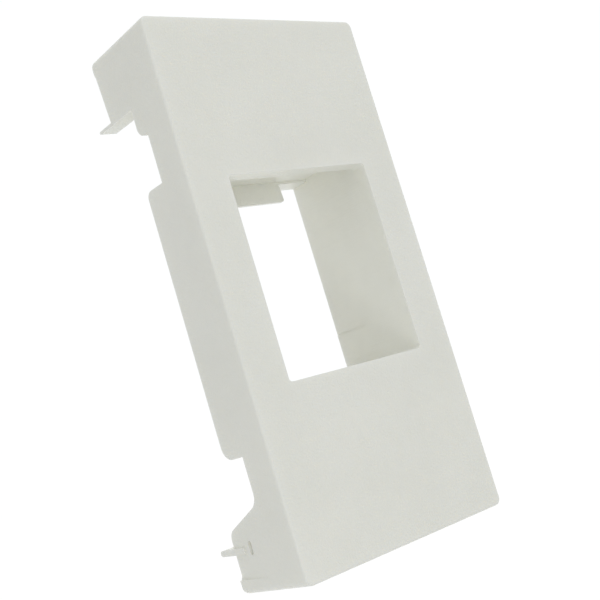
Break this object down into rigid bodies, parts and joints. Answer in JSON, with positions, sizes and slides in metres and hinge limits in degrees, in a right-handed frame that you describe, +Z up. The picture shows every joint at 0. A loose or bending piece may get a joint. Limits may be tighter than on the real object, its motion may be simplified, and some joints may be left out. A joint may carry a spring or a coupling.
{
  "type": "keystone adapter",
  "caption": "Half-width wall-frame insert with a keystone window: a moulded cover plate with a notched skirt and a rear channel that holds a data or fibre jack.",
  "frame": {"origin": "centre of the cover plate's front face", "axes": "+Z up along the 45 mm length, latch catch uppermost; +Y rearward from the front face into the wall; +X to the right as seen from the front"},
  "size_m": [0.0226, 0.0099, 0.045],
  "materials": {
    "moulded_plastic": "fine matte off-white moulded plastic"
  },
  "bodies": {
    "root": {"adapter_body": "moulded_plastic"}
  },
  "joints": []
}
